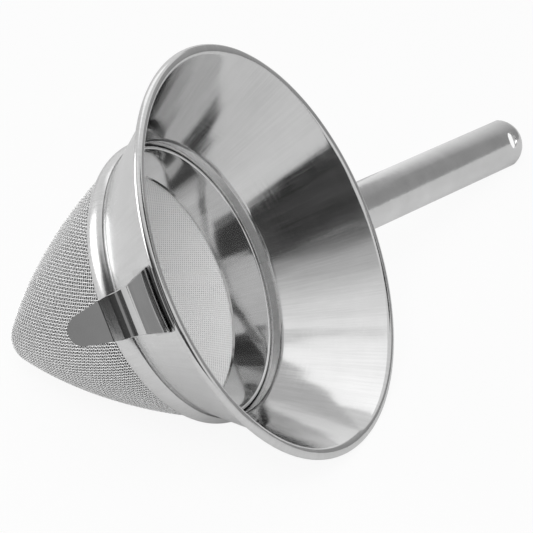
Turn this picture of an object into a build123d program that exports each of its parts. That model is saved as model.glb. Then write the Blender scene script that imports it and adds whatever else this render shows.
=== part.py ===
from build123d import *
import math
import os

os.makedirs("parts", exist_ok=True)

# A stainless chinois strainer, in millimetres. It is upright: +Z is the cone's axis, towards
# the mouth. The handle points to -X and the pot hook to +X. The origin is the rim's centre.

# Bowl and rolled rim
rim_r = 100.0
bowl_sheet = 0.8
rim_wire_r = 1.4
rim_play = 0.1
curl_sweep = 300.0
bowl_depth = 43.0
shoulder_r = 6.0
skirt_r = 68.0
skirt_len = 7.5

# Inner collar, which tapers in from the skirt by its inset
collar_sheet = 0.6
collar_bead_r = 0.9
collar_gap = 0.3
collar_top = 49.3
collar_bottom = 66.0
collar_inset = 8.9
collar_lip = 0.5
collar_lip_height = 1.0
collar_curl_sweep = 250.0

# Filter cone: a fine cloth inside a coarser supporting cloth, with a curved side and a round tip
cloth_play = 0.05
fine_cloth = 0.3
support_cloth = 0.5
cone_depth = 153.3
cone_side_r = 305.0
cone_tip_r = 14.0

# Clamp band, which swells out beyond the skirt by its rise
band_sheet = 0.6
band_play = 0.05
band_drop = 1.2
band_rise = 1.3
band_height = 11.3

# Handle: its widths are measured across the lips, which end above the round channel's axis
handle_sheet = 1.2
handle_root_width = 25.4
handle_end_width = 26.8
handle_lip_height = 5.0
handle_reach = 318.2
handle_axis_drop = 16.0
hang_hole_r = 4.75
hang_hole_inset = 21.8
foot_play = 0.05
foot_width = 48.0
foot_top = 4.6
foot_bottom = 30.0
foot_corner_r = 7.0

# Pot hook: its reaches are measured from the rim
hook_sheet = 1.5
hook_root_width = 30.4
hook_knee_width = 22.2
hook_crease_width = 18.5
hook_tip_r = 7.1
hook_top_drop = 2.8
hook_reach = 22.0
hook_knee_reach = 16.5
hook_bend_r = 8.0
hook_crease_drop = 16.5
hook_crease_r = 2.0
hook_tip_drop = 32.2
hook_kick_angle = 25.0
hook_tab_bottom = 19.0
hook_tab_bend_r = 3.0
hook_weld_spread = 12.0

# Spot welds
weld_r = 2.6
weld_play = 0.02
weld_proud = 0.12

# One overrun serves all cuts
over = 5.0

# Bowl geometry: the wall's middle line is tangent to the rim's curl and ends in the skirt
bead_r = rim_wire_r + rim_play + bowl_sheet
bead_centre_r = rim_r - bead_r
bead_mid_r = bead_r - bowl_sheet / 2
skirt_mid_r = skirt_r - bowl_sheet / 2
wall_run = math.hypot(bead_centre_r - skirt_mid_r, bowl_depth)
wall_angle = math.atan2(bead_centre_r - skirt_mid_r, bowl_depth) - math.asin(bead_mid_r / wall_run)
wall_degrees = math.degrees(wall_angle)
skirt_end = bowl_depth + skirt_len


def wall_r(depth, proud):
    """Radius of the bowl's wall at a depth, with proud measured square to the wall."""
    middle = skirt_mid_r + (bowl_depth - depth) * math.tan(wall_angle)
    return middle + (bowl_sheet / 2 + proud) / math.cos(wall_angle)


# Collar geometry
skirt_inner_r = skirt_r - bowl_sheet
collar_bead_centre_r = skirt_inner_r - collar_gap - collar_bead_r
collar_mid_bead_r = collar_bead_r - collar_sheet / 2
collar_mid_top_r = collar_bead_centre_r - collar_mid_bead_r
collar_mid_bottom_r = skirt_r - collar_inset + collar_sheet / 2
cloth_top = collar_top + collar_bead_r + cloth_play

# Cloth layers, as distances outside the collar's outer face
fine_inside = cloth_play
fine_outside = fine_inside + fine_cloth
support_inside = fine_outside + cloth_play
support_outside = support_inside + support_cloth


def cone_points(gap):
    """Top, knee, side middle, tangent point, tip middle and tip of the cone's line at a gap."""
    fall = (collar_mid_top_r - collar_mid_bottom_r) / (collar_bottom - collar_top)
    face_top_r = collar_mid_top_r + collar_sheet / 2 + gap
    top = Vector(face_top_r - (cloth_top - collar_top) * fall, -cloth_top)
    knee = Vector(collar_mid_bottom_r + collar_sheet / 2 + gap, -collar_bottom)
    tip_r = cone_tip_r - support_outside + gap
    side_r = cone_side_r - support_outside + gap
    centre = Vector(0, cone_tip_r - cone_depth)
    # The side's centre is side_r from the knee and side_r less tip_r from the tip's centre
    chord = (knee - centre).length
    way = (knee - centre) / chord
    along = ((side_r - tip_r) ** 2 - side_r**2 + chord**2) / (2 * chord)
    across = math.sqrt((side_r - tip_r) ** 2 - along**2)
    side_centre = centre + way * along + Vector(-way.Y, way.X) * across
    tangent = centre + (centre - side_centre).normalized() * tip_r
    side = side_centre + ((knee + tangent) / 2 - side_centre).normalized() * side_r
    tip = centre - Vector(0, tip_r)
    tip_middle = centre + ((tangent + tip) / 2 - centre).normalized() * tip_r
    return [top, knee, side, tangent, tip_middle, tip]


def cloth_face(inside, outside):
    """Half section of one cloth layer, closed on the axis."""
    inner = cone_points(inside)
    outer = cone_points(outside)
    with BuildSketch(mode=Mode.PRIVATE) as section:
        with BuildLine():
            Line(inner[0], outer[0])
            Line(outer[0], outer[1])
            ThreePointArc(outer[1], outer[2], outer[3])
            ThreePointArc(outer[3], outer[4], outer[5])
            Line(outer[5], inner[5])
            ThreePointArc(inner[5], inner[4], inner[3])
            ThreePointArc(inner[3], inner[2], inner[1])
            Line(inner[1], inner[0])
        make_face()
    return section.sketch


def wall_band(inside, outside, top, bottom):
    """Half section of a plate that lies on the bowl's wall between two depths."""
    with BuildSketch(mode=Mode.PRIVATE) as section:
        with BuildLine():
            Polyline(
                (wall_r(top, inside), -top),
                (wall_r(top, outside), -top),
                (wall_r(bottom, outside), -bottom),
                (wall_r(bottom, inside), -bottom),
                close=True,
            )
        make_face()
    return section.sketch


def weld_plane(side, across, depth):
    """Plane square to the bowl's wall, with side 1 at +X and -1 at -X."""
    radius = wall_r(depth, foot_play)
    azimuth = math.asin(across / radius)
    flat = math.cos(azimuth) * side
    origin = (radius * flat, across, -depth)
    out = (
        math.cos(wall_angle) * flat,
        math.cos(wall_angle) * math.sin(azimuth),
        -math.sin(wall_angle),
    )
    return Plane(origin=origin, z_dir=out)


# Bowl
with BuildPart() as bowl:
    with BuildSketch(Plane.XZ):
        with BuildLine():
            wall_top = (
                bead_centre_r - bead_mid_r * math.cos(wall_angle),
                bead_mid_r * math.sin(wall_angle),
            )
            FilletPolyline(
                (skirt_mid_r, -skirt_end),
                (skirt_mid_r, -bowl_depth),
                wall_top,
                radius=shoulder_r,
            )
            CenterArc((bead_centre_r, 0), bead_mid_r, 180.0 - wall_degrees, -curl_sweep)
        trace(line_width=bowl_sheet)
    revolve(axis=Axis.Z)
bowl.part.label = "bowl"
export_step(bowl.part, "parts/bowl.step")

# Rim wire, inside the curl
with BuildPart() as rim_wire:
    with BuildSketch(Plane.XZ):
        with Locations((bead_centre_r, 0)):
            Circle(rim_wire_r)
    revolve(axis=Axis.Z)
rim_wire.part.label = "rim_wire"
export_step(rim_wire.part, "parts/rim_wire.step")

# Inner collar, with a rolled top edge and a lip turned in below
with BuildPart() as inner_collar:
    with BuildSketch(Plane.XZ):
        with BuildLine():
            lean = math.atan2(collar_mid_top_r - collar_mid_bottom_r, collar_bottom - collar_top)
            bead_side = (
                collar_bead_centre_r - collar_mid_bead_r * math.cos(lean),
                -collar_top + collar_mid_bead_r * math.sin(lean),
            )
            FilletPolyline(
                (collar_mid_bottom_r - collar_lip, -collar_bottom),
                (collar_mid_bottom_r, -collar_bottom + collar_lip_height),
                bead_side,
                radius=collar_sheet,
            )
            CenterArc(
                (collar_bead_centre_r, -collar_top),
                collar_mid_bead_r,
                180.0 - math.degrees(lean),
                -collar_curl_sweep,
            )
        trace(line_width=collar_sheet)
    revolve(axis=Axis.Z)
inner_collar.part.label = "inner_collar"
export_step(inner_collar.part, "parts/inner_collar.step")

# Fine filter cloth
with BuildPart() as filter_mesh:
    with BuildSketch(Plane.XZ):
        add(cloth_face(fine_inside, fine_outside))
    revolve(axis=Axis.Z)
filter_mesh.part.label = "filter_mesh"
export_step(filter_mesh.part, "parts/filter_mesh.step")

# Supporting cloth
with BuildPart() as support_mesh:
    with BuildSketch(Plane.XZ):
        add(cloth_face(support_inside, support_outside))
    revolve(axis=Axis.Z)
support_mesh.part.label = "support_mesh"
export_step(support_mesh.part, "parts/support_mesh.step")

# Clamp band: rounded outwards, from the skirt's shoulder down to the supporting cloth
with BuildPart() as clamp_band:
    with BuildSketch(Plane.XZ):
        with BuildLine():
            band_top = bowl_depth + band_drop
            band_end = band_top + band_height
            cloth_top_point, cloth_knee = cone_points(support_outside)[:2]
            cloth_share = (band_end - cloth_top) / (collar_bottom - cloth_top)
            cloth_r = cloth_top_point.X + (cloth_knee.X - cloth_top_point.X) * cloth_share
            ThreePointArc(
                (skirt_r + band_play + band_sheet / 2, -band_top),
                (skirt_r + band_rise - band_sheet / 2, -(band_top + band_end) / 2),
                (cloth_r + band_play + band_sheet / 2, -band_end),
            )
        trace(line_width=band_sheet)
    revolve(axis=Axis.Z)
clamp_band.part.label = "clamp_band"
export_step(clamp_band.part, "parts/clamp_band.step")

# Handle: a half-round channel with a domed end, on a foot that follows the bowl's wall
handle_z = -handle_axis_drop
handle_root_r = math.hypot(handle_root_width / 2, handle_lip_height)
handle_end_r = math.hypot(handle_end_width / 2, handle_lip_height)
handle_centre_x = handle_end_width / 2 - handle_reach
handle_welds = [
    weld_plane(-1, across, depth)
    for across in (-foot_width / 2 + foot_corner_r, foot_width / 2 - foot_corner_r)
    for depth in (foot_top + foot_corner_r, foot_bottom - foot_corner_r)
]
with BuildPart() as handle:
    with BuildSketch(Plane.XZ):
        add(wall_band(foot_play, foot_play + handle_sheet, foot_top, foot_bottom))
    revolve(axis=Axis.Z)
    with BuildSketch(Plane.YZ):
        with Locations((0, -(foot_top + foot_bottom) / 2)):
            RectangleRounded(foot_width, foot_bottom - foot_top, foot_corner_r)
    extrude(amount=-rim_r, mode=Mode.INTERSECT)
    for plane in handle_welds:
        with BuildSketch(plane):
            Circle(weld_r + weld_play)
        extrude(amount=handle_sheet + over, both=True, mode=Mode.SUBTRACT)
    channel_start_x = over - wall_r(handle_axis_drop, 0)
    channel_start = Plane(origin=(channel_start_x, 0, handle_z), x_dir=(0, 1, 0), z_dir=(-1, 0, 0))
    channel_end = Plane(origin=(handle_centre_x, 0, handle_z), x_dir=(0, 1, 0), z_dir=(-1, 0, 0))
    for plane, radius in ((channel_start, handle_root_r), (channel_end, handle_end_r)):
        with BuildSketch(plane):
            Circle(radius)
            Circle(radius - handle_sheet, mode=Mode.SUBTRACT)
            with Locations((0, -handle_lip_height)):
                Rectangle(
                    handle_end_width + over,
                    handle_end_width,
                    align=(Align.CENTER, Align.MIN),
                    mode=Mode.SUBTRACT,
                )
    loft(ruled=True)
    with BuildSketch(channel_end):
        Circle(handle_end_r)
        Circle(handle_end_r - handle_sheet, mode=Mode.SUBTRACT)
        with Locations((0, -handle_lip_height)):
            Rectangle(
                handle_end_width, handle_end_width, align=(Align.MIN, Align.MAX), mode=Mode.INTERSECT
            )
    revolve(axis=Axis((handle_centre_x, 0, handle_z), (0, 0, 1)), revolution_arc=180)
    with BuildSketch(Plane.XZ):
        add(wall_band(-handle_end_r, foot_play, -over, bowl_depth))
    revolve(axis=Axis.Z, mode=Mode.SUBTRACT)
    with BuildSketch(Plane.XY.offset(handle_z)):
        with Locations((-(handle_reach - hang_hole_inset), 0)):
            Circle(hang_hole_r)
    extrude(amount=handle_end_r + over, mode=Mode.SUBTRACT)
handle.part.label = "handle"
export_step(handle.part, "parts/handle.step")

# Spot welds of the handle's foot
with BuildPart() as handle_spot_welds:
    for plane in handle_welds:
        with BuildSketch(plane):
            Circle(weld_r)
        extrude(amount=handle_sheet + weld_proud)
handle_spot_welds.part.label = "handle_spot_welds"
export_step(handle_spot_welds.part, "parts/handle_spot_welds.step")

# Pot hook: a bent strap, welded under the rim, that reaches out, turns down and flares
hook_mid_drop = hook_top_drop + hook_sheet / 2
hook_face_x = rim_r + hook_reach
hook_leg_x = hook_face_x - hook_sheet / 2
hook_back = foot_play + hook_sheet / 2
hook_flare = (hook_tip_drop - hook_crease_drop) * math.tan(math.radians(hook_kick_angle))
hook_weld_depth = (hook_mid_drop + hook_tab_bend_r + hook_tab_bottom) / 2
hook_welds = [
    weld_plane(1, across, hook_weld_depth)
    for across in (-hook_weld_spread / 2, hook_weld_spread / 2)
]
hook_span = hook_face_x + hook_flare + over
with BuildPart() as pot_hook:
    with BuildSketch(Plane.XZ):
        with BuildLine():
            FilletPolyline(
                (wall_r(hook_tab_bottom, hook_back), -hook_tab_bottom),
                (wall_r(hook_mid_drop, hook_back), -hook_mid_drop),
                (hook_leg_x, -hook_mid_drop),
                (hook_leg_x, -hook_crease_drop),
                (hook_leg_x + hook_flare, -hook_tip_drop),
                radius=(hook_tab_bend_r, hook_bend_r - hook_sheet / 2, hook_crease_r),
            )
        trace(line_width=hook_sheet)
    extrude(amount=hook_root_width / 2, both=True)
    root = hook_root_width / 2
    knee = hook_knee_width / 2
    crease = hook_crease_width / 2
    knee_slope = (root - knee) / (bead_r + hook_knee_reach)
    reach_half = root - knee_slope * (bead_r + hook_reach)
    with BuildSketch(Plane.XY):
        with BuildLine():
            Polyline(
                (skirt_r, -root),
                (bead_centre_r, -root),
                (hook_face_x, -reach_half),
                (hook_span, -reach_half),
                (hook_span, reach_half),
                (hook_face_x, reach_half),
                (bead_centre_r, root),
                (skirt_r, root),
                close=True,
            )
        make_face()
    extrude(amount=-hook_tip_drop - over, mode=Mode.INTERSECT)
    with BuildSketch(Plane.YZ.offset(rim_r)):
        with Locations((0, -hook_top_drop)):
            Rectangle(hook_root_width + over, hook_tip_drop + over, align=(Align.CENTER, Align.MAX))
        with BuildLine(mode=Mode.PRIVATE) as blade:
            Line((-crease, -hook_crease_drop), (crease, -hook_crease_drop))
            CenterArc((0, hook_tip_r - hook_tip_drop), hook_tip_r, 0, 360)
        make_hull(blade.edges(), mode=Mode.SUBTRACT)
        with BuildLine(mode=Mode.PRIVATE) as shoulder:
            Polyline(
                (-crease, -hook_crease_drop),
                (-knee, -hook_top_drop - hook_sheet),
                (-root, -hook_top_drop - hook_sheet),
                (-root, 0),
                (root, 0),
                (root, -hook_top_drop - hook_sheet),
                (knee, -hook_top_drop - hook_sheet),
                (crease, -hook_crease_drop),
                close=True,
            )
        make_face(shoulder.edges(), mode=Mode.SUBTRACT)
    extrude(amount=hook_span - rim_r, mode=Mode.SUBTRACT)
    for plane in hook_welds:
        with BuildSketch(plane):
            Circle(weld_r + weld_play)
        extrude(amount=hook_sheet + over, both=True, mode=Mode.SUBTRACT)
pot_hook.part.label = "pot_hook"
export_step(pot_hook.part, "parts/pot_hook.step")

# Spot welds of the hook's tab, long enough to cross the gap beside the flat tab's middle
tab_r = wall_r(hook_weld_depth, 0)
tab_gap = (tab_r - math.sqrt(tab_r**2 - (hook_weld_spread / 2) ** 2)) * math.cos(wall_angle)
with BuildPart() as hook_spot_welds:
    for plane in hook_welds:
        with BuildSketch(plane):
            Circle(weld_r)
        extrude(amount=hook_sheet + tab_gap + weld_proud)
hook_spot_welds.part.label = "hook_spot_welds"
export_step(hook_spot_welds.part, "parts/hook_spot_welds.step")
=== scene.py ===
import math

import bpy
import numpy as np
from mathutils import Matrix, Vector


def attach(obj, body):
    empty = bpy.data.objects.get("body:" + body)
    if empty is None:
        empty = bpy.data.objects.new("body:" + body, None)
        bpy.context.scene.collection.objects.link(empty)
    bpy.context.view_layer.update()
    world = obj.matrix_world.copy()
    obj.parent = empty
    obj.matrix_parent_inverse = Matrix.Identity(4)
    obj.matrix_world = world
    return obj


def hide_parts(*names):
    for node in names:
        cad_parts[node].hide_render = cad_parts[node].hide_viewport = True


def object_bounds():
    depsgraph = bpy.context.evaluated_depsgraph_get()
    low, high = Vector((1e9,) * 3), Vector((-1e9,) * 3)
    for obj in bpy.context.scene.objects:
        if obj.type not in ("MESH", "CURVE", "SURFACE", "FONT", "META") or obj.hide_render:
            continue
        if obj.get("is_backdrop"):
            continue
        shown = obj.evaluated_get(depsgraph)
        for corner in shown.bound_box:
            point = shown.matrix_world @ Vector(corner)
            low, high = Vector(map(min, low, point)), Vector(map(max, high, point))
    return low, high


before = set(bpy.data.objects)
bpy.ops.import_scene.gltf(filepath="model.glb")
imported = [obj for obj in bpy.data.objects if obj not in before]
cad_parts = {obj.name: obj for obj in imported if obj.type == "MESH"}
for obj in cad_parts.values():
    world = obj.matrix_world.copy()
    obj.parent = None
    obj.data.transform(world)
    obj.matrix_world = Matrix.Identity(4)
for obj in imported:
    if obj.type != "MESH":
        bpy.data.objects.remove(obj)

# Looks for the chinois strainer. The object's lengths are in millimetres, and MM turns them into
# metres where a mesh is made. The camera, the table, the lamps and the cards are in metres.
MM = 0.001
cad_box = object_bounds()

# Bowl, as in the part
RIM_R = 100.0
BOWL_SHEET = 0.8
RIM_WIRE_R = 1.4
RIM_PLAY = 0.1
BOWL_DEPTH = 43.0
SHOULDER_R = 6.0
SKIRT_R = 68.0
SKIRT_LEN = 7.5

# Rolled rim: rounder inside, with a tighter tuck outside. Its top and outer edge are the part's
RIM_ROUND_R = 3.1
RIM_TUCK_R = 2.0
RIM_TUCK_TURN = 60.0
RIM_CORE_R = 1.15
CURL_SWEEP = 310.0

# Inner collar, as in the part
COLLAR_SHEET = 0.6
COLLAR_BEAD_R = 0.9
COLLAR_GAP = 0.3
COLLAR_TOP = 49.3
COLLAR_BOTTOM = 66.0
COLLAR_INSET = 8.9
COLLAR_LIP = 0.5
COLLAR_LIP_HEIGHT = 1.0
COLLAR_CURL_SWEEP = 250.0

# Cloth cone, as in the part
CLOTH_PLAY = 0.05
FINE_CLOTH = 0.3
SUPPORT_CLOTH = 0.5
CONE_DEPTH = 153.3
CONE_SIDE_R = 305.0
CONE_TIP_R = 14.0

# Coarse weave of real wires: its seam is opposite WEAVE_CENTRE, and WEAVE_TURN is its slant
WEAVE_PITCH = 1.6
WEAVE_WIRE_R = 0.22
WEAVE_WAVE = 0.25
WEAVE_LIFT = 0.1
WEAVE_SIDES = 4
WEAVE_TURN = 38.0
WEAVE_CENTRE = -50.0

# Fine weave, drawn on a skin that is thinner than the part's cloth
FINE_SKIN = 0.12
FINE_PITCH = 1.0
FINE_CENTRE = 180.0
FINE_TURN = 20.0

# Clamp band, as in the part
BAND_SHEET = 0.6
BAND_PLAY = 0.05
BAND_DROP = 1.2
BAND_RISE = 1.3
BAND_HEIGHT = 11.3

# Fineness of the meshes: segments round the axis, steps of each arc, longest straights, how far
# the skin's tip stays off the axis, the step that a slope is taken over, and a wire's fewest points
SEGMENTS = 360
SHOULDER_STEPS = 16
RIM_ROUND_STEPS = 20
RIM_TUCK_STEPS = 32
RIM_CORE_STEPS = 20
COLLAR_CORNER_STEPS = 8
COLLAR_CURL_STEPS = 36
BAND_STEPS = 28
TIP_STEPS = 24
SIDE_STEPS = 48
LONGEST_SPAN = 2.0
LONGEST_COLLAR_SPAN = 1.5
SHARP_ANGLE = 40.0
AXIS_GAP = 0.01
SLOPE_STEP = 0.5
FEWEST_POINTS = 3

# Camera, fitted to the photograph
CAMERA_AZIMUTH = 87.657
CAMERA_ELEVATION = 30.647
CAMERA_ROLL = 69.76
CAMERA_DISTANCE = 1.1765
CAMERA_AIM = (0.00262, 0.00658, -0.00397)
CAMERA_LENS = 172.64
CAMERA_SENSOR = 36.0
CAMERA_CLIP_END = 30.0

# The table that the strainer lies on: it touches the rim, the cone's side and the handle's end
TABLE_UP = (0.2311, -0.8410, 0.4891)
TABLE_DROP = 0.08751
TABLE_SIZE = 6.0
FLOOR_GREY = 0.72
FLOOR_CAMERA_SHARE = 0.92
FLOOR_METAL_SHARE = 0.2
FLOOR_SEEN_BY_METAL = 0.8

# World: a pale grey, its level as light, and its level where the camera or the metal sees it
WORLD_GREY = 0.8
WORLD_LIGHT = 0.45
WORLD_SEEN = 1.0

# Middle of the handle, which the two cards that only it reflects curve round
HANDLE_MIDDLE = (-0.2, 0.0, -0.01)
CARD_STEPS = 24

# Marks in the metal, by metre, or by radian for those that turn round the axis
RING_SCALE = 2600.0
STREAK_TURN = 90.0
STREAK_UP = 40.0
WAVE_TURN = 1.0
WAVE_UP = 5.0
WAVE_SCALE = 4.5
SHEET_FOG = 38.0
BRUSH_ACROSS = 2200.0
BRUSH_ALONG = 60.0
BRUSH_FOG = 45.0
WIRE_FOG = 700.0
CLOTH_FOG = 60.0
MOTTLE_SCALES = (4.0, 4.0, 22.0)

# Noises: detail and roughness, and the range that their values keep to
CRISP = (3.0, 0.6)
CLOUDY = (4.0, 0.6)
CALM = (1.0, 0.4)
GRAINY = (2.0, 0.6)
UNEVEN = (3.0, 0.5)
NOISE_RANGE = (0.3, 0.7)

# Greys of the sheet and the wires, as a place in the noise and a share of the piece's grey
TURNED_STOPS = ((0.35, 0.9), (0.65, 1.03))
BRUSHED_STOPS = ((0.3, 0.88), (0.7, 1.0))
WIRE_STOPS = ((0.3, 0.92), (0.7, 1.0))

# Shares in a blend of two noises, for the first of them
STREAK_SHARE = 0.5
RING_SHARE = 0.35
BRUSH_SHARE = 0.6

# Fine weave: how much a wire rises at a crossing, and how its height and a fog set its shade, a
# painted shade that darkens each wire where it dips and the gaps between wires
CROSSING_RISE = 0.5
HEIGHT_SHADE = 0.5
FOG_SHADE = 0.35
WIRE_SHADE = 0.4

# Depth of the bumps, in metres
WAVE_DEPTH = 0.002
MARK_DEPTH = 0.0002
WIRE_DEPTH = 0.0001
CLOTH_DEPTH = 0.00015


# Lines
def arc(centre, radius, start, sweep, steps):
    """Points of an arc, with angles in degrees."""
    points = []
    for i in range(steps + 1):
        a = math.radians(start + sweep * i / steps)
        points.append((centre[0] + radius * math.cos(a), centre[1] + radius * math.sin(a)))
    return points


def arc_through(a, b, c, steps):
    """Points of the arc that starts at a, passes b and ends at c."""
    d = 2 * (a[0] * (b[1] - c[1]) + b[0] * (c[1] - a[1]) + c[0] * (a[1] - b[1]))
    sa, sb, sc = (p[0] ** 2 + p[1] ** 2 for p in (a, b, c))
    ux = (sa * (b[1] - c[1]) + sb * (c[1] - a[1]) + sc * (a[1] - b[1])) / d
    uy = (sa * (c[0] - b[0]) + sb * (a[0] - c[0]) + sc * (b[0] - a[0])) / d
    radius = math.hypot(a[0] - ux, a[1] - uy)
    start = math.atan2(a[1] - uy, a[0] - ux)
    middle = (math.atan2(b[1] - uy, b[0] - ux) - start) % (2 * math.pi)
    end = (math.atan2(c[1] - uy, c[0] - ux) - start) % (2 * math.pi)
    if middle > end:
        end -= 2 * math.pi
    return arc((ux, uy), radius, math.degrees(start), math.degrees(end), steps)


def corner(before, at, after, radius, steps):
    """Points that round a corner of a line."""
    p, q, r = Vector(before), Vector(at), Vector(after)
    d1 = (p - q).normalized()
    d2 = (r - q).normalized()
    half = d1.angle(d2) / 2
    reach = radius / math.tan(half)
    centre = q + (d1 + d2).normalized() * (radius / math.sin(half))
    start = q + d1 * reach - centre
    end = q + d2 * reach - centre
    a0 = math.atan2(start.y, start.x)
    turn = (math.atan2(end.y, end.x) - a0 + math.pi) % (2 * math.pi) - math.pi
    return arc(tuple(centre), radius, math.degrees(a0), math.degrees(turn), steps)


def spaced(line, longest):
    """The line with its long straights divided."""
    out = [line[0]]
    for a, b in zip(line, line[1:]):
        n = max(1, math.ceil(math.hypot(b[0] - a[0], b[1] - a[1]) / longest))
        for i in range(1, n + 1):
            out.append((a[0] + (b[0] - a[0]) * i / n, a[1] + (b[1] - a[1]) * i / n))
    return out


def offset(line, by):
    """The line moved sideways, to its left where by is above zero."""
    out = []
    for i, p in enumerate(line):
        a = line[max(i - 1, 0)]
        b = line[min(i + 1, len(line) - 1)]
        d = Vector((b[0] - a[0], b[1] - a[1])).normalized()
        out.append((p[0] - d.y * by, p[1] + d.x * by))
    return out


def sheet(line, thickness):
    """Closed loop round a sheet's middle line."""
    return offset(line, thickness / 2) + offset(line, -thickness / 2)[::-1]


# Meshes
def add_mesh(name, points, faces):
    """A new mesh object in the scene."""
    mesh = bpy.data.meshes.new(name)
    mesh.from_pydata(points, [], faces)
    obj = bpy.data.objects.new(name, mesh)
    bpy.context.scene.collection.objects.link(obj)
    return obj


def smooth(mesh):
    """Smooth shading on every face."""
    mesh.polygons.foreach_set("use_smooth", [True] * len(mesh.polygons))


def lathe(name, loop):
    """A mesh turned from a closed loop of radius and height, in millimetres."""
    count = len(loop)
    angle = np.linspace(0, 2 * np.pi, SEGMENTS, endpoint=False)
    loop = np.array(loop, float) * MM
    x = loop[:, 0][None, :] * np.cos(angle)[:, None]
    y = loop[:, 0][None, :] * np.sin(angle)[:, None]
    z = np.repeat(loop[:, 1][None, :], SEGMENTS, 0)
    points = np.stack([x, y, z], -1).reshape(-1, 3)
    faces = []
    for s in range(SEGMENTS):
        t = (s + 1) % SEGMENTS
        for i in range(count):
            j = (i + 1) % count
            faces.append((s * count + i, t * count + i, t * count + j, s * count + j))
    obj = add_mesh(name, points.tolist(), faces)
    smooth(obj.data)
    obj.data.set_sharp_from_angle(angle=math.radians(SHARP_ANGLE))
    return obj


def place(obj, slot, materials, *nodes):
    """The piece rides on the part, stands for its nodes and takes its materials."""
    for material in materials:
        obj.data.materials.append(material)
    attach(obj, "root")
    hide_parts(*nodes)


def paint_sides(obj):
    """Gives the first half of a turned loop the first material and the other half the second."""
    polygons = obj.data.polygons
    count = len(polygons) // SEGMENTS
    sides = [0 if i % count < count // 2 else 1 for i in range(len(polygons))]
    polygons.foreach_set("material_index", sides)


# Measures of the turned pieces
bead_r = RIM_WIRE_R + RIM_PLAY + BOWL_SHEET
round_mid_r = RIM_ROUND_R - BOWL_SHEET / 2
tuck_mid_r = RIM_TUCK_R - BOWL_SHEET / 2
tuck_turn = math.radians(RIM_TUCK_TURN)
tuck_shift = Vector((math.cos(tuck_turn), math.sin(tuck_turn))) * (round_mid_r - tuck_mid_r)
round_centre = Vector((RIM_R - RIM_TUCK_R - tuck_shift.x, bead_r - RIM_ROUND_R))
tuck_centre = round_centre + tuck_shift
skirt_mid_r = SKIRT_R - BOWL_SHEET / 2
wall_reach = round_centre - Vector((skirt_mid_r, -BOWL_DEPTH))
wall_angle = math.atan2(wall_reach.x, wall_reach.y) - math.asin(round_mid_r / wall_reach.length)
collar_bead_centre_r = SKIRT_R - BOWL_SHEET - COLLAR_GAP - COLLAR_BEAD_R
collar_mid_bead_r = COLLAR_BEAD_R - COLLAR_SHEET / 2
collar_mid_top_r = collar_bead_centre_r - collar_mid_bead_r
collar_mid_bottom_r = SKIRT_R - COLLAR_INSET + COLLAR_SHEET / 2
cloth_top = COLLAR_TOP + COLLAR_BEAD_R + CLOTH_PLAY
support_inside = CLOTH_PLAY + FINE_CLOTH + CLOTH_PLAY
support_outside = support_inside + SUPPORT_CLOTH


# Turned pieces
def bowl_piece():
    """Spun bowl with its rolled rim. The loop's first half is the inside face."""
    wall_top = (
        round_centre.x - round_mid_r * math.cos(wall_angle),
        round_centre.y + round_mid_r * math.sin(wall_angle),
    )
    skirt_end = (skirt_mid_r, -(BOWL_DEPTH + SKIRT_LEN))
    skirt_top = (skirt_mid_r, -BOWL_DEPTH)
    shoulder = corner(skirt_end, skirt_top, wall_top, SHOULDER_R, SHOULDER_STEPS)
    begin = 180 - math.degrees(wall_angle)
    first = begin - RIM_TUCK_TURN
    curl = arc(tuple(round_centre), round_mid_r, begin, -first, RIM_ROUND_STEPS)
    rest = first - CURL_SWEEP
    curl += arc(tuple(tuck_centre), tuck_mid_r, RIM_TUCK_TURN, rest, RIM_TUCK_STEPS)[1:]
    line = spaced([skirt_end] + shoulder + curl, LONGEST_SPAN)
    return lathe("bowl_shell", sheet(line, BOWL_SHEET))


def rim_wire_piece():
    """Round wire inside the rolled rim."""
    return lathe("rim_core", arc(tuple(tuck_centre), RIM_CORE_R, 0, 360, RIM_CORE_STEPS)[:-1])


def collar_piece():
    """Collar with its rolled top edge and the lip below."""
    lean = math.atan2(collar_mid_top_r - collar_mid_bottom_r, COLLAR_BOTTOM - COLLAR_TOP)
    bead_side = (
        collar_bead_centre_r - collar_mid_bead_r * math.cos(lean),
        -COLLAR_TOP + collar_mid_bead_r * math.sin(lean),
    )
    lip = (collar_mid_bottom_r - COLLAR_LIP, -COLLAR_BOTTOM)
    turn = (collar_mid_bottom_r, -COLLAR_BOTTOM + COLLAR_LIP_HEIGHT)
    curl = arc(
        (collar_bead_centre_r, -COLLAR_TOP),
        collar_mid_bead_r,
        180 - math.degrees(lean),
        -COLLAR_CURL_SWEEP,
        COLLAR_CURL_STEPS,
    )
    rounded = corner(lip, turn, bead_side, COLLAR_SHEET, COLLAR_CORNER_STEPS)
    line = spaced([lip] + rounded + curl, LONGEST_COLLAR_SPAN)
    return lathe("collar_ring", sheet(line, COLLAR_SHEET))


def band_piece():
    """Clamp band, rounded outwards."""
    band_top = BOWL_DEPTH + BAND_DROP
    band_end = band_top + BAND_HEIGHT
    top, knee = cone_points(support_outside)[:2]
    cloth_share = (band_end - cloth_top) / (COLLAR_BOTTOM - cloth_top)
    cloth_r = top[0] + (knee[0] - top[0]) * cloth_share
    line = arc_through(
        (SKIRT_R + BAND_PLAY + BAND_SHEET / 2, -band_top),
        (SKIRT_R + BAND_RISE - BAND_SHEET / 2, -(band_top + band_end) / 2),
        (cloth_r + BAND_PLAY + BAND_SHEET / 2, -band_end),
        BAND_STEPS,
    )
    return lathe("band_ring", sheet(line, BAND_SHEET))


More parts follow.
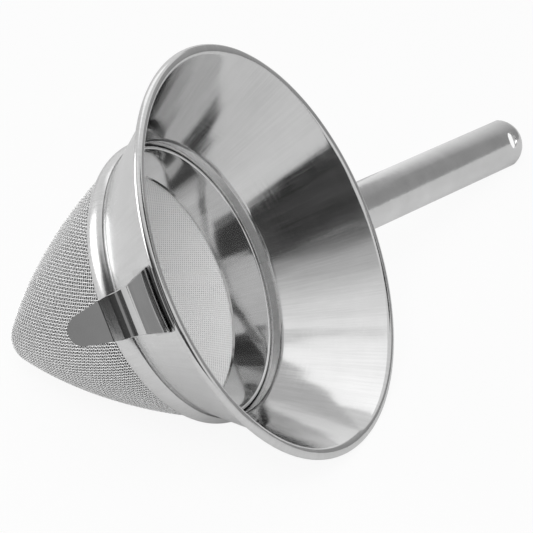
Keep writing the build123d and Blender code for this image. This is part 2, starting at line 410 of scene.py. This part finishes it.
# Cloths
def cone_points(gap):
    """Top, knee, side middle, tangent point, tip middle and tip of the cone's line at a gap."""
    fall = (collar_mid_top_r - collar_mid_bottom_r) / (COLLAR_BOTTOM - COLLAR_TOP)
    face_top_r = collar_mid_top_r + COLLAR_SHEET / 2 + gap
    top = Vector((face_top_r - (cloth_top - COLLAR_TOP) * fall, -cloth_top))
    knee = Vector((collar_mid_bottom_r + COLLAR_SHEET / 2 + gap, -COLLAR_BOTTOM))
    tip_r = CONE_TIP_R - support_outside + gap
    side_r = CONE_SIDE_R - support_outside + gap
    centre = Vector((0, CONE_TIP_R - CONE_DEPTH))
    # The side's centre is side_r from the knee and side_r less tip_r from the tip's centre
    chord = (knee - centre).length
    way = (knee - centre) / chord
    along = ((side_r - tip_r) ** 2 - side_r**2 + chord**2) / (2 * chord)
    across = math.sqrt((side_r - tip_r) ** 2 - along**2)
    side_centre = centre + way * along + Vector((-way.y, way.x)) * across
    tangent = centre + (centre - side_centre).normalized() * tip_r
    side = side_centre + ((knee + tangent) / 2 - side_centre).normalized() * side_r
    tip = centre - Vector((0, tip_r))
    tip_middle = centre + ((tangent + tip) / 2 - centre).normalized() * tip_r
    return [tuple(p) for p in (top, knee, side, tangent, tip_middle, tip)]


def cone_line(gap):
    """The cone's line at a gap, from its tip to its top."""
    top, knee, side, tangent, tip_middle, tip = cone_points(gap)
    line = arc_through(tip, tip_middle, tangent, TIP_STEPS)
    line += arc_through(tangent, side, knee, SIDE_STEPS)[1:]
    line += spaced([knee, top], LONGEST_SPAN)[1:]
    return line


class Cone:
    """The cloth's surface at a gap, with the flat pattern that it is rolled from."""

    def __init__(self, gap):
        line = np.array(cone_line(gap))
        steps = np.hypot(*np.diff(line, axis=0).T)
        self.s = np.concatenate([[0], np.cumsum(steps)])
        self.r = line[:, 0]
        self.z = line[:, 1]
        _, knee, _, tangent, _, _ = cone_points(gap)
        slope = math.hypot(knee[0] - tangent[0], knee[1] - tangent[1])
        self.share = (knee[0] - tangent[0]) / slope
        self.s_tip = float(self.s[TIP_STEPS])
        self.rho_tip = tangent[0] / self.share
        self.rho_top = self.rho_tip + float(self.s[-1]) - self.s_tip

    def along(self, rho):
        """Way along the cone's line for a radius of the flat pattern."""
        tip = rho / self.rho_tip * self.s_tip
        return np.where(rho < self.rho_tip, tip, rho - self.rho_tip + self.s_tip)

    def flat_radius(self, s):
        """Radius of the flat pattern for a way along the cone's line."""
        tip = s / self.s_tip * self.rho_tip
        return np.where(s < self.s_tip, tip, s - self.s_tip + self.rho_tip)

    def points(self, flat, centre, lift):
        """Points and normals of the cloth over its flat pattern, with the points lifted off it."""
        rho = np.hypot(flat[:, 0], flat[:, 1])
        turn = np.arctan2(flat[:, 1], flat[:, 0]) / self.share + math.radians(centre)
        s = self.along(rho)
        ahead, behind = s + SLOPE_STEP, s - SLOPE_STEP
        dr = np.interp(ahead, self.s, self.r) - np.interp(behind, self.s, self.r)
        dz = np.interp(ahead, self.s, self.z) - np.interp(behind, self.s, self.z)
        size = np.hypot(dr, dz)
        out_r, out_z = dz / size, -dr / size
        r = np.interp(s, self.s, self.r) + out_r * lift
        z = np.interp(s, self.s, self.z) + out_z * lift
        spots = np.stack([r * np.cos(turn), r * np.sin(turn), z], -1)
        normals = np.stack([out_r * np.cos(turn), out_r * np.sin(turn), out_z], -1)
        return spots, normals


def wire_rows(cone, which):
    """Middle lines and normals of one of the two sets of wires of a plain weave."""
    reach = cone.rho_top
    limit = math.pi * cone.share
    beta = math.radians(WEAVE_TURN + 90.0 * which)
    along = np.array([math.cos(beta), math.sin(beta)])
    across = np.array([-math.sin(beta), math.cos(beta)])
    rows = int(reach / WEAVE_PITCH)
    half = WEAVE_PITCH / 2
    for row in range(-rows, rows + 1):
        c = (row + 0.5) * WEAVE_PITCH
        if abs(c) >= reach:
            continue
        last = int(math.sqrt(reach**2 - c**2) / half)
        k = np.arange(-last, last + 1)
        flat = along * (k * half)[:, None] + across * c
        inside = np.abs(np.arctan2(flat[:, 1], flat[:, 0])) < limit
        crossing = (k + 1) / 2
        lift = WEAVE_WAVE * np.cos(math.pi * (crossing + row + which))
        cuts = np.flatnonzero(np.diff(inside.astype(int))) + 1
        for run in np.split(np.arange(len(k)), cuts):
            if inside[run[0]] and len(run) >= FEWEST_POINTS:
                yield cone.points(flat[run], WEAVE_CENTRE, lift[run])


def wire_rings(middle, normals):
    """Points round a wire, ring after ring along its middle line."""
    t = np.gradient(middle, axis=0)
    t /= np.linalg.norm(t, axis=1)[:, None]
    b = np.cross(t, normals)
    b /= np.linalg.norm(b, axis=1)[:, None]
    n = np.cross(b, t)
    turns = [2 * math.pi * (q + 0.5) / WEAVE_SIDES for q in range(WEAVE_SIDES)]
    rings = [middle + WEAVE_WIRE_R * (math.cos(a) * n + math.sin(a) * b) for a in turns]
    return np.stack(rings, 1).reshape(-1, 3)


def wires_piece(name, cone, which):
    """One of the two sets of wires, as one mesh."""
    vertices, faces, start = [], [], 0
    q = np.arange(WEAVE_SIDES)[None, :]
    w = (q + 1) % WEAVE_SIDES
    for middle, normals in wire_rows(cone, which):
        rings = wire_rings(middle, normals)
        vertices.append(rings)
        i = np.arange(len(middle) - 1)[:, None] * WEAVE_SIDES + start
        j = i + WEAVE_SIDES
        faces.append(np.stack([i + q, j + q, j + w, i + w], -1).reshape(-1, 4))
        start += len(rings)
    points = np.concatenate(vertices) * MM
    obj = add_mesh(name, points.tolist(), np.concatenate(faces).tolist())
    smooth(obj.data)
    return obj


def lay_pattern(mesh, cone):
    """UV of a turned cloth: its flat pattern, in units of the fine pitch."""
    co = np.zeros(len(mesh.vertices) * 3)
    mesh.vertices.foreach_get("co", co)
    co = co.reshape(-1, 3)
    loops = np.zeros(len(mesh.loops), int)
    mesh.loops.foreach_get("vertex_index", loops)
    s = np.tile(np.concatenate([cone.s, cone.s[::-1]]), SEGMENTS)
    rho = cone.flat_radius(s)[loops]
    turn = np.arctan2(co[:, 1], co[:, 0]) - math.radians(FINE_CENTRE)
    turn = (turn + math.pi) % (2 * math.pi) - math.pi
    # A face that crosses the seam takes all its corners from the seam's far side
    corners = turn[loops].reshape(-1, 4)
    wide = corners.max(1) - corners.min(1) > math.pi
    corners[wide] = np.where(corners[wide] < 0, corners[wide] + 2 * math.pi, corners[wide])
    flat = corners.reshape(-1) * cone.share + math.radians(FINE_TURN)
    uv = np.stack([rho * np.cos(flat), rho * np.sin(flat)], -1) / FINE_PITCH
    layer = mesh.uv_layers.new(name="flat_pattern")
    layer.data.foreach_set("uv", uv.reshape(-1))


def fine_cloth_piece():
    """The fine cloth as a thin skin. The loop's first half is the inside face."""
    inside = [(max(r, AXIS_GAP), z) for r, z in cone_line(CLOTH_PLAY)]
    outside = [(max(r, AXIS_GAP), z) for r, z in cone_line(CLOTH_PLAY + FINE_SKIN)]
    obj = lathe("fine_cloth_skin", inside + outside[::-1])
    lay_pattern(obj.data, Cone(CLOTH_PLAY))
    return obj


# Materials
class Tree:
    """A node tree, built in plain steps."""

    def __init__(self, owner, output="ShaderNodeOutputMaterial"):
        owner.use_nodes = True
        self.tree = owner.node_tree
        self.tree.nodes.clear()
        self.surface = self.node(output).inputs["Surface"]

    def node(self, kind, **values):
        node = self.tree.nodes.new(kind)
        for key, value in values.items():
            setattr(node, key, value)
        return node

    def link(self, a, b):
        self.tree.links.new(a, b)

    def feed(self, socket, value):
        if isinstance(value, (int, float, tuple)):
            socket.default_value = value
        else:
            self.link(value, socket)

    def result(self, kind, *values, **settings):
        """First output of a node whose inputs take the values in their order."""
        node = self.node(kind, **settings)
        for socket, value in zip(node.inputs, values):
            self.feed(socket, value)
        return node.outputs[0]

    def math(self, operation, a, b=0.0, c=0.0):
        return self.result("ShaderNodeMath", a, b, c, operation=operation)

    def blend(self, first, second, share):
        """Sum of two values, with a share of the first and the rest of the second."""
        part = self.math("MULTIPLY", first, share)
        return self.math("ADD", part, self.math("MULTIPLY", second, 1.0 - share))

    def join(self, x, y, z):
        return self.result("ShaderNodeCombineXYZ", x, y, z)

    def span(self, value, low, high, to_low, to_high):
        return self.result("ShaderNodeMapRange", value, low, high, to_low, to_high)

    def mix(self, share, first, second):
        return self.result("ShaderNodeMixShader", share, first, second)

    def split(self, vector):
        node = self.node("ShaderNodeSeparateXYZ")
        self.link(vector, node.inputs[0])
        return node.outputs

    def spot(self):
        return self.node("ShaderNodeTexCoord").outputs["Object"]

    def noise(self, vector, scale, detail, rough):
        node = self.node("ShaderNodeTexNoise")
        self.feed(node.inputs["Vector"], vector)
        node.inputs["Scale"].default_value = scale
        node.inputs["Detail"].default_value = detail
        node.inputs["Roughness"].default_value = rough
        return node.outputs["Fac"]

    def glow(self, kind, grey, strength):
        """Output of an emission or background."""
        node = self.node(kind)
        node.inputs["Color"].default_value = (grey, grey, grey, 1)
        self.feed(node.inputs["Strength"], strength)
        return node.outputs[0]


class Finish(Tree):
    """A material of one shader, with its colour, roughness and bump set by nodes."""

    def __init__(self, name, metallic):
        self.material = bpy.data.materials.new(name)
        super().__init__(self.material)
        self.shader = self.node("ShaderNodeBsdfPrincipled")
        self.shader.inputs["Metallic"].default_value = metallic
        self.link(self.shader.outputs[0], self.surface)

    def colour(self, value, stops, grey=1.0):
        """Base colour from two stops, each a place and a share of the grey."""
        node = self.node("ShaderNodeValToRGB")
        for element, (at, share) in zip(node.color_ramp.elements, stops):
            element.position = at
            element.color = (grey * share, grey * share, grey * share, 1)
        self.feed(node.inputs[0], value)
        self.link(node.outputs[0], self.shader.inputs["Base Color"])

    def roughness(self, value, low, high):
        rough = self.span(value, *NOISE_RANGE, low, high)
        self.link(rough, self.shader.inputs["Roughness"])

    def bump(self, height, strength, distance, below=None):
        """Bump on the shader, over another bump where below gives one."""
        node = self.node("ShaderNodeBump")
        node.inputs["Strength"].default_value = strength
        node.inputs["Distance"].default_value = distance
        self.link(height, node.inputs["Height"])
        if below is not None:
            self.link(below, node.inputs["Normal"])
        self.link(node.outputs[0], self.shader.inputs["Normal"])
        return node.outputs[0]


def turned_steel(name, grey, roughness, spread, marks, waves, anisotropy):
    """Spun steel: fine rings round the axis, slow waves in the sheet, soft uneven polish."""
    n = Finish(name, metallic=1.0)
    x, y, z = n.split(n.spot())
    squares = n.math("ADD", n.math("MULTIPLY", x, x), n.math("MULTIPLY", y, y))
    radius = n.math("SQRT", squares)
    safe = n.math("MAXIMUM", radius, MM)
    ways = n.math("DIVIDE", x, safe), n.math("DIVIDE", y, safe), z

    def around(turn, up):
        """A place that turns with the surface round the axis."""
        return n.join(*(n.math("MULTIPLY", a, b) for a, b in zip(ways, (turn, turn, up))))

    profile = n.math("SUBTRACT", radius, z)
    rings = n.noise(n.join(0.0, 0.0, n.math("MULTIPLY", profile, RING_SCALE)), 1.0, *CRISP)
    streaks = n.noise(around(STREAK_TURN, STREAK_UP), 1.0, *CRISP)
    slow = n.noise(around(WAVE_TURN, WAVE_UP), WAVE_SCALE, *CALM)
    fog = n.noise(n.spot(), SHEET_FOG, *CLOUDY)
    shade = n.blend(streaks, fog, STREAK_SHARE)
    n.colour(shade, TURNED_STOPS, grey)
    n.roughness(n.blend(rings, shade, RING_SHARE), roughness, roughness + spread)
    n.shader.inputs["Anisotropic"].default_value = anisotropy
    tangent = n.node("ShaderNodeTangent", direction_type="RADIAL", axis="Z")
    n.link(tangent.outputs[0], n.shader.inputs["Tangent"])
    n.bump(rings, marks, MARK_DEPTH, n.bump(slow, waves, WAVE_DEPTH))
    return n.material


def brushed_steel(name, grey, roughness, spread, marks, axis):
    """Satin sheet with fine straight marks along one axis."""
    n = Finish(name, metallic=1.0)
    scales = [BRUSH_ACROSS] * 3
    scales[axis] = BRUSH_ALONG
    parts = zip(n.split(n.spot()), scales)
    brushed = n.join(*(n.math("MULTIPLY", part, scale) for part, scale in parts))
    lines = n.noise(brushed, 1.0, *CRISP)
    fog = n.noise(n.spot(), BRUSH_FOG, *CLOUDY)
    n.colour(fog, BRUSHED_STOPS, grey)
    n.roughness(n.blend(lines, fog, BRUSH_SHARE), roughness, roughness + spread)
    n.bump(lines, marks, MARK_DEPTH)
    return n.material


def wire_steel():
    """Drawn wire of the coarse cloth."""
    n = Finish("coarse_wire", metallic=0.6)
    fog = n.noise(n.spot(), WIRE_FOG, *GRAINY)
    n.colour(fog, WIRE_STOPS)
    n.roughness(fog, low=0.2, high=0.32)
    n.bump(fog, strength=0.2, distance=WIRE_DEPTH)
    return n.material


def fine_weave(name, gap, wire):
    """Plain weave of fine wires, drawn from the cloth's flat pattern, with its two greys as painted
    shade: the gap grey darkens the gaps between wires and each wire where it dips, and the wire grey
    is where it lies high.
    """
    n = Finish(name, metallic=0.0)
    u, v, _ = n.split(n.node("ShaderNodeUVMap", uv_map="flat_pattern").outputs[0])

    def wave(way, turn):
        return n.math("COSINE", n.math("MULTIPLY", way, turn))

    over = n.math("MULTIPLY", wave(u, math.pi), wave(v, math.pi))
    rise = n.math("MULTIPLY", over, CROSSING_RISE)
    line_u = n.math("ADD", wave(u, 2 * math.pi), rise)
    line_v = n.math("SUBTRACT", wave(v, 2 * math.pi), rise)
    height = n.math("MAXIMUM", line_u, line_v)
    fog = n.noise(n.spot(), CLOTH_FOG, *CRISP)
    # Painted shade: a wire is drawn lighter the higher it lies, so its low parts and the gaps are
    # darker.
    painted_height_shade = n.math("MULTIPLY", height, HEIGHT_SHADE)
    shade = n.math("ADD", painted_height_shade, n.math("MULTIPLY", fog, FOG_SHADE))
    n.colour(shade, ((0.0, gap), (WIRE_SHADE, wire)))
    n.roughness(fog, low=0.42, high=0.55)
    n.bump(height, strength=0.5, distance=CLOTH_DEPTH)
    return n.material


def pale_floor():
    """White to the camera with a soft shadow, pale to the metal, and clear from below."""
    material = bpy.data.materials.new("pale_floor")
    n = Tree(material)
    path = n.node("ShaderNodeLightPath").outputs
    level = n.span(path["Is Camera Ray"], 0.0, 1.0, FLOOR_SEEN_BY_METAL, 1.0)
    white = n.glow("ShaderNodeEmission", 1.0, level)
    pale = n.node("ShaderNodeBsdfDiffuse")
    pale.inputs["Color"].default_value = (FLOOR_GREY, FLOOR_GREY, FLOOR_GREY, 1)
    metal = n.math("MULTIPLY", path["Is Glossy Ray"], FLOOR_METAL_SHARE)
    share = n.math("MULTIPLY_ADD", path["Is Camera Ray"], FLOOR_CAMERA_SHARE, metal)
    above = n.mix(share, pale.outputs[0], white)
    below = n.node("ShaderNodeBsdfTransparent").outputs[0]
    behind = n.node("ShaderNodeNewGeometry").outputs["Backfacing"]
    n.link(n.mix(behind, above, below), n.surface)
    return material


def card_glow(name, mottle):
    """Glow of a card: its shade attribute, uneven in bands that lie level with the table."""
    material = bpy.data.materials.new(name)
    n = Tree(material)
    level = Vector(TABLE_UP).rotation_difference(Vector((0, 0, 1)))
    turned = n.node("ShaderNodeMapping")
    turned.inputs["Rotation"].default_value = level.to_euler()
    turned.inputs["Scale"].default_value = MOTTLE_SCALES
    n.link(n.spot(), turned.inputs["Vector"])
    bands = n.noise(turned.outputs["Vector"], 1.0, *UNEVEN)
    glow = n.node("ShaderNodeEmission")
    shade = n.node("ShaderNodeAttribute", attribute_name="shade")
    n.link(shade.outputs["Color"], glow.inputs["Color"])
    uneven = n.span(bands, *NOISE_RANGE, 1.0 - mottle, 1.0 + mottle)
    n.link(uneven, glow.inputs["Strength"])
    n.link(glow.outputs[0], n.surface)
    return material


# Camera and studio
def camera_back():
    """Direction from the strainer to the camera."""
    a = math.radians(CAMERA_AZIMUTH)
    e = math.radians(CAMERA_ELEVATION)
    return Vector((math.sin(a) * math.cos(e), -math.cos(a) * math.cos(e), math.sin(e)))


def add_camera():
    """Camera of the photograph's view."""
    back = camera_back()
    flat_right = Vector((0, 0, 1)).cross(back).normalized()
    flat_up = back.cross(flat_right)
    roll = math.radians(CAMERA_ROLL)
    up = flat_up * math.cos(roll) - flat_right * math.sin(roll)
    right = up.cross(back)
    data = bpy.data.cameras.new("camera")
    data.lens = CAMERA_LENS
    data.sensor_width = CAMERA_SENSOR
    data.clip_end = CAMERA_CLIP_END
    obj = bpy.data.objects.new("camera", data)
    bpy.context.scene.collection.objects.link(obj)
    turn = Matrix((right, up, back)).transposed().to_4x4()
    obj.matrix_world = Matrix.Translation(Vector(CAMERA_AIM) + back * CAMERA_DISTANCE) @ turn
    bpy.context.scene.camera = obj


def table_frame():
    """Axes of the table: right and towards the camera as it sees them, and the table's normal."""
    normal = Vector(TABLE_UP).normalized()
    right = normal.cross(camera_back()).normalized()
    return right, right.cross(normal), normal


def aim(azimuth, elevation):
    """Direction from the strainer, by azimuth from the camera's side to its right, and elevation."""
    right, depth, normal = table_frame()
    a, e = math.radians(azimuth), math.radians(elevation)
    return (right * math.sin(a) + depth * math.cos(a)) * math.cos(e) + normal * math.sin(e)


def add_floor():
    """The pale table under the strainer."""
    right, depth, normal = table_frame()
    middle = normal * -TABLE_DROP
    across, along = right * TABLE_SIZE, depth * -TABLE_SIZE
    signs = ((-1, -1), (1, -1), (1, 1), (-1, 1))
    corners = [tuple(middle + across * a + along * b) for a, b in signs]
    floor = add_mesh("floor", corners, [(0, 1, 2, 3)])
    floor.data.materials.append(pale_floor())
    floor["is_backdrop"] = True


def add_world():
    """Pale to the camera and the metal, and a plainer light on the rest."""
    world = bpy.data.worlds.new("studio")
    bpy.context.scene.world = world
    n = Tree(world, "ShaderNodeOutputWorld")
    light = n.glow("ShaderNodeBackground", WORLD_GREY, WORLD_LIGHT)
    pale = n.glow("ShaderNodeBackground", WORLD_GREY, WORLD_SEEN)
    path = n.node("ShaderNodeLightPath").outputs
    seen = n.math("MAXIMUM", path["Is Camera Ray"], path["Is Glossy Ray"])
    seen = n.math("MAXIMUM", seen, path["Is Transmission Ray"])
    n.link(n.mix(seen, light, pale), n.surface)


def lamp(name, direction, distance, size, level, reflected):
    """A soft square lamp that faces the strainer. A level of 1 looks white."""
    data = bpy.data.lights.new(name, "AREA")
    data.shape = "SQUARE"
    data.size = size
    data.energy = level * math.pi * size**2
    obj = bpy.data.objects.new(name, data)
    bpy.context.scene.collection.objects.link(obj)
    turn = direction.to_track_quat("Z", "Y").to_matrix().to_4x4()
    obj.matrix_world = Matrix.Translation(direction * distance) @ turn
    obj.visible_glossy = reflected


def card(name, azimuths, elevations, distance, levels, rising=False, mottle=0.0, centre=(0, 0, 0)):
    """A curved card round a centre that only the metal sees. Its level runs from one side to
    the other, or upwards where it is rising."""
    points, faces, shades = [], [], []
    for i in range(CARD_STEPS + 1):
        for j in range(CARD_STEPS + 1):
            a = azimuths[0] + (azimuths[1] - azimuths[0]) * i / CARD_STEPS
            e = elevations[0] + (elevations[1] - elevations[0]) * j / CARD_STEPS
            points.append(tuple(aim(a, e) * distance + Vector(centre)))
            part = (j if rising else i) / CARD_STEPS
            shades.append(levels[0] + (levels[1] - levels[0]) * part)
    row = CARD_STEPS + 1
    for i in range(CARD_STEPS):
        for j in range(CARD_STEPS):
            k = i * row + j
            faces.append((k, k + 1, k + row + 1, k + row))
    obj = add_mesh(name, points, faces)
    colour = obj.data.color_attributes.new("shade", "FLOAT_COLOR", "POINT")
    for item, grey in zip(colour.data, shades):
        item.color = (grey, grey, grey, 1)
    obj.data.materials.append(card_glow(name, mottle))
    obj.visible_camera = False
    obj.visible_diffuse = False
    obj.visible_shadow = False
    obj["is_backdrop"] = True


# The studio round the strainer. Cards have their azimuths, elevations, distance and levels
def add_lamps():
    """Soft light from above and from the camera's side, and a window on the left."""
    lamp("top_light", aim(180, 65), distance=2.4, size=2.0, level=0.9, reflected=False)
    lamp("fill", aim(-5, 50), distance=2.2, size=1.4, level=5.2, reflected=False)
    lamp("window", aim(-95, 14), distance=2.0, size=1.4, level=2.2, reflected=True)


def add_dark_cards():
    """The dark room round the camera, which makes the bowl's dark patch and streaks."""
    card("dark_room", (1, 23), (-5.3, 35), 0.96, (0.035, 0.08), rising=True, mottle=0.9)
    card("dark_room_right", (23, 42), (-5.3, 17), 0.96, (0.06, 0.06), mottle=0.6)
    card("photographer", (-22, -6), (5, 30), 0.96, (0.3, 0.3))
    card("photographer_dark", (-20, 1), (-5.3, 35), 0.97, (0.12, 0.08), mottle=0.5)
    card("dark_room_left", (-62, -20), (-7, 35), 0.93, (0.05, 0.06), mottle=0.6)
    card("dark_side", (70, 100), (27, 52), 1.65, (0.07, 0.07))


def add_pale_cards():
    """Ceiling and walls, which make the bowl's bright and grey parts and the rim's grey band."""
    card("ceiling_edge", (-70, 25), (35, 47), 1.5, (0.1, 0.5), rising=True)
    card("ceiling", (-70, 25), (46, 90), 1.6, (0.5, 1.15), rising=True)
    card("ceiling_back", (150, 215), (38, 90), 1.6, (1.35, 1.15), rising=True)
    card("left_wall", (-145, -60), (-2, 60), 2.4, (0.72, 0.75))
    card("pale_side", (25, 68), (17, 37), 1.65, (0.7, 0.8))
    card("far_wall", (84, 165), (-3, 24), 1.7, (0.3, 0.42))


def add_handle_cards():
    """Two walls near the handle, which make its grey strip and its lighter half."""
    around = dict(distance=0.3, centre=HANDLE_MIDDLE)
    card("grey_wall", (85, 145), (-7, 20), levels=(0.33, 0.33), mottle=0.1, **around)
    card("pale_wall", (145, 182), (-7, 20), levels=(0.36, 1.0), **around)


# Build
inside_steel = turned_steel(
    "polished_inside", grey=0.72, roughness=0.05, spread=0.16, marks=0.006, waves=0.25, anisotropy=0.0
)
outside_steel = turned_steel(
    "satin_outside", grey=0.76, roughness=0.18, spread=0.12, marks=0.02, waves=0.1, anisotropy=0.2
)
bright_steel = turned_steel(
    "bright_rings", grey=0.74, roughness=0.05, spread=0.05, marks=0.004, waves=0.06, anisotropy=0.0
)
handle_steel = brushed_steel(
    "satin_handle", grey=0.76, roughness=0.1, spread=0.14, marks=0.04, axis=0
)
strap_steel = brushed_steel(
    "polished_strap", grey=0.7, roughness=0.06, spread=0.05, marks=0.008, axis=1
)
coarse_wire = wire_steel()
weave_inside = fine_weave("fine_weave", gap=0.6, wire=0.99)
# Painted shade: the fine cloth's outside is drawn nearly black, standing in for the shade under the
# coarse wires and in the cloth's holes.
weave_painted_shade = fine_weave("fine_weave_back", gap=0.01, wire=0.04)

bowl = bowl_piece()
place(bowl, "polished_steel", [inside_steel, outside_steel], "bowl")
paint_sides(bowl)
place(rim_wire_piece(), "polished_steel", [bright_steel], "rim_wire")
place(collar_piece(), "polished_steel", [bright_steel], "inner_collar")
place(band_piece(), "polished_steel", [outside_steel], "clamp_band")
skin = fine_cloth_piece()
# The skin's inside face takes the fine weave, its outside face the nearly black copy of painted
# shade.
place(skin, "fine_wire_cloth", [weave_inside, weave_painted_shade], "filter_mesh")
paint_sides(skin)
cloth = Cone(support_inside + SUPPORT_CLOTH / 2 + WEAVE_LIFT)
for which, name in enumerate(("support_wires_a", "support_wires_b")):
    wires = wires_piece(name, cloth, which)
    place(wires, "coarse_wire_cloth", [coarse_wire], "support_mesh")
for name, material in (
    ("handle", handle_steel),
    ("handle_spot_welds", handle_steel),
    ("pot_hook", strap_steel),
    ("hook_spot_welds", strap_steel),
):
    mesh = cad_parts[name].data
    mesh.materials.clear()
    mesh.materials.append(material)

add_camera()
add_floor()
add_world()
add_lamps()
add_dark_cards()
add_pale_cards()
add_handle_cards()
bpy.context.scene.view_settings.view_transform = "Standard"

boxes = {"cad": cad_box, "visual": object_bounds()}
{key: [list(map(float, v)) for v in box] for key, box in boxes.items()}
